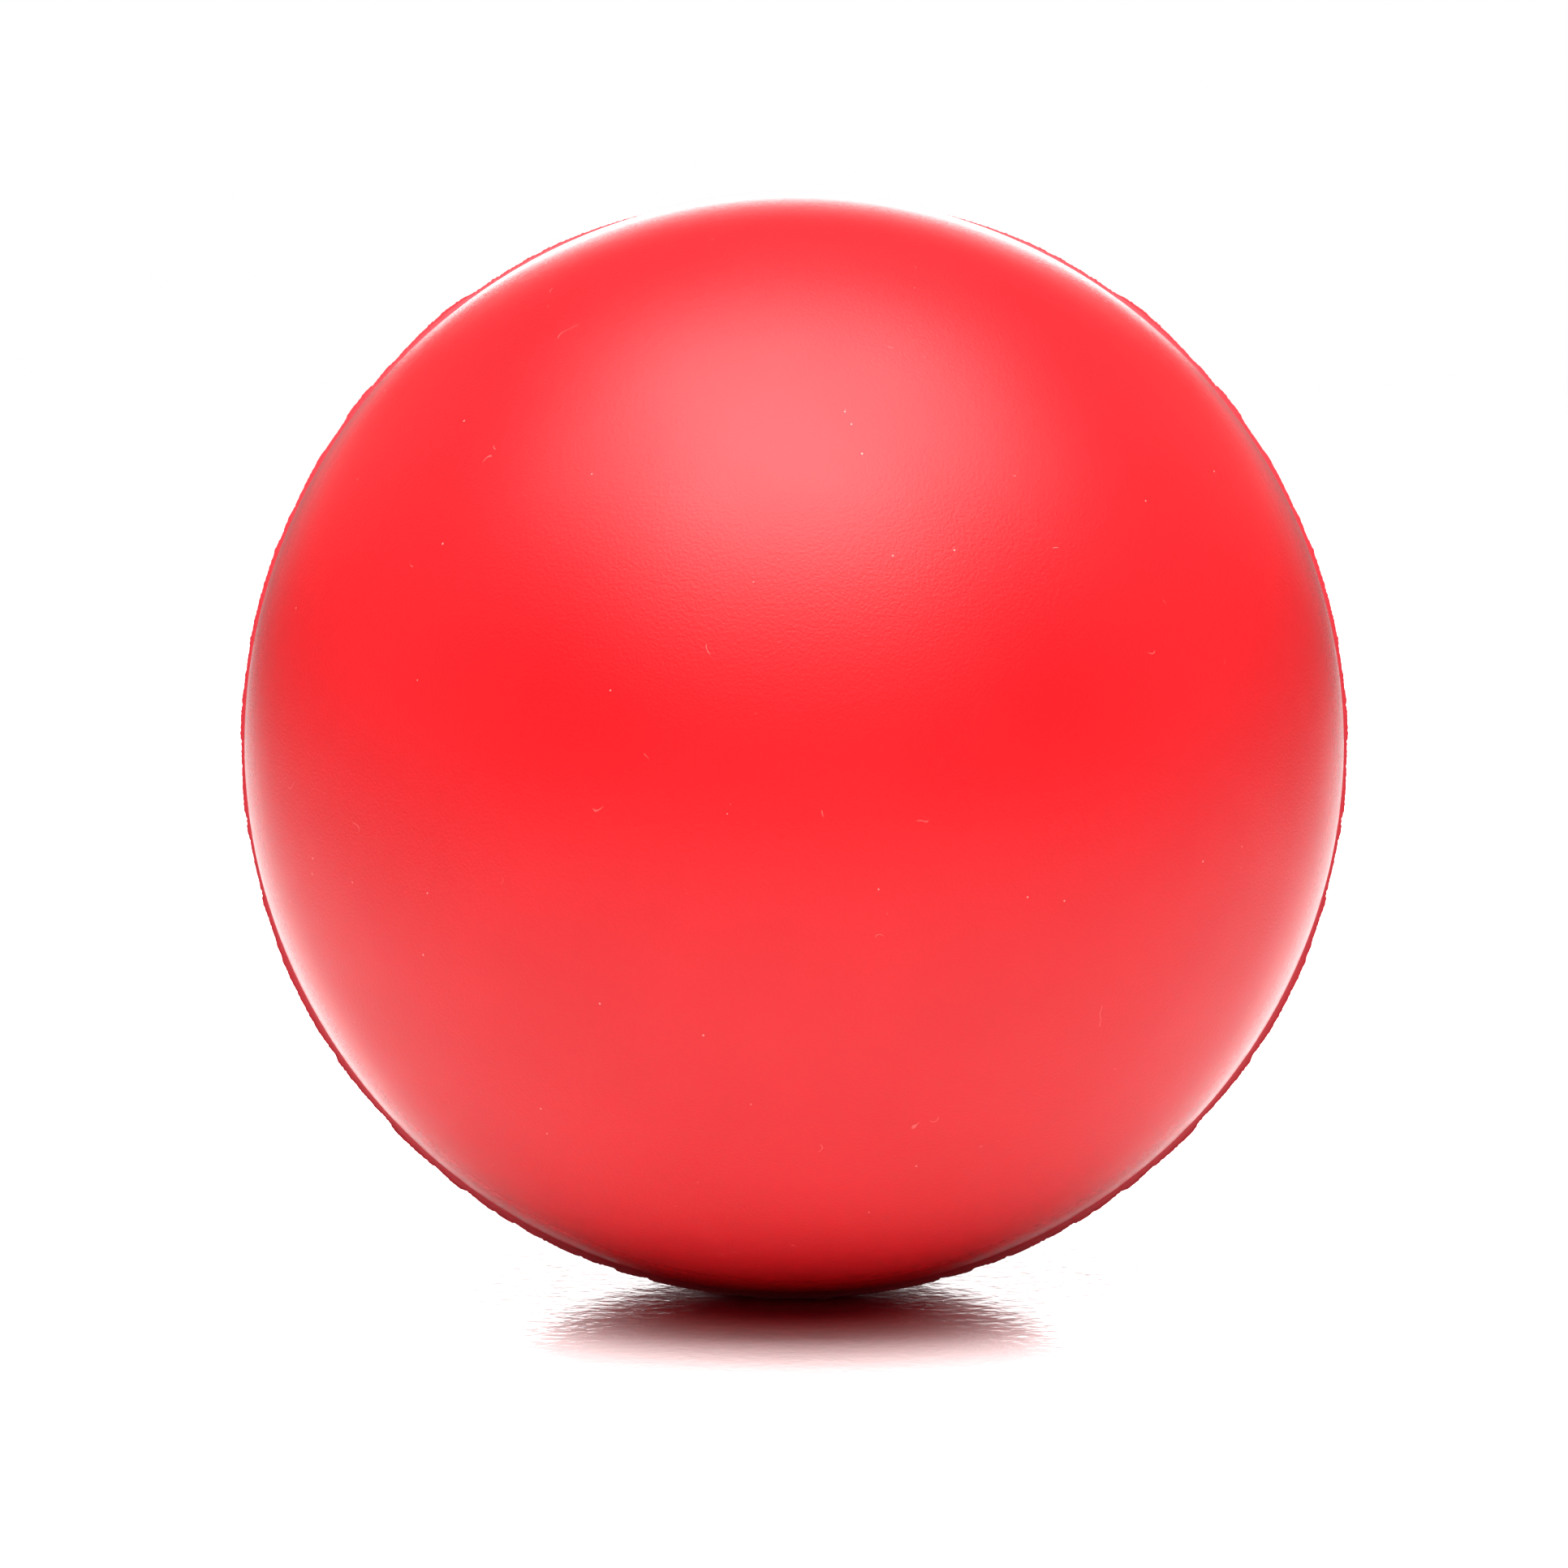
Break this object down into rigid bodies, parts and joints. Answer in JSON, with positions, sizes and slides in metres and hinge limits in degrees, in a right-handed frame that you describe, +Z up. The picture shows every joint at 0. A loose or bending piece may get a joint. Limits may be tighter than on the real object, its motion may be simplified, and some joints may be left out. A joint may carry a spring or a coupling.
{
  "type": "playground rubber ball",
  "caption": "Inflated red rubber playground ball with a raised trimmed parting line round it and a needle valve whose plug pulls out.",
  "frame": {"origin": "centre of the ball", "axes": "+Z up, with the ball as it comes to rest on a floor at z = -0.10795 m, leaning forwards on the lip of its parting line; +X runs across the front; the valve is at the back, looking along +Y and 9.73 degrees downwards"},
  "size_m": [0.2188, 0.2158, 0.2158],
  "materials": {
    "red_cover": "satin",
    "red_bead": "satin",
    "gum_lining": "matte",
    "nylon_thread": "satin",
    "butyl_bladder": "matte",
    "butyl_valve": "satin",
    "soft_butyl": "matte"
  },
  "bodies": {
    "ball": {"front_cover": "red_cover", "rear_cover": "red_cover", "seam_bead": "red_bead", "front_lining": "gum_lining", "rear_lining": "gum_lining", "valve_patch": "gum_lining", "nylon_winding": "nylon_thread", "bladder": "butyl_bladder", "valve_housing": "butyl_valve"},
    "plug": {"valve_plug": "butyl_valve", "plug_core": "soft_butyl"}
  },
  "joints": [
    {"name": "plug_pull", "type": "slide", "parent": "ball", "child": "plug", "axis": [0, 0.9856, -0.1691], "range_m": [0, 0.028]}
  ]
}
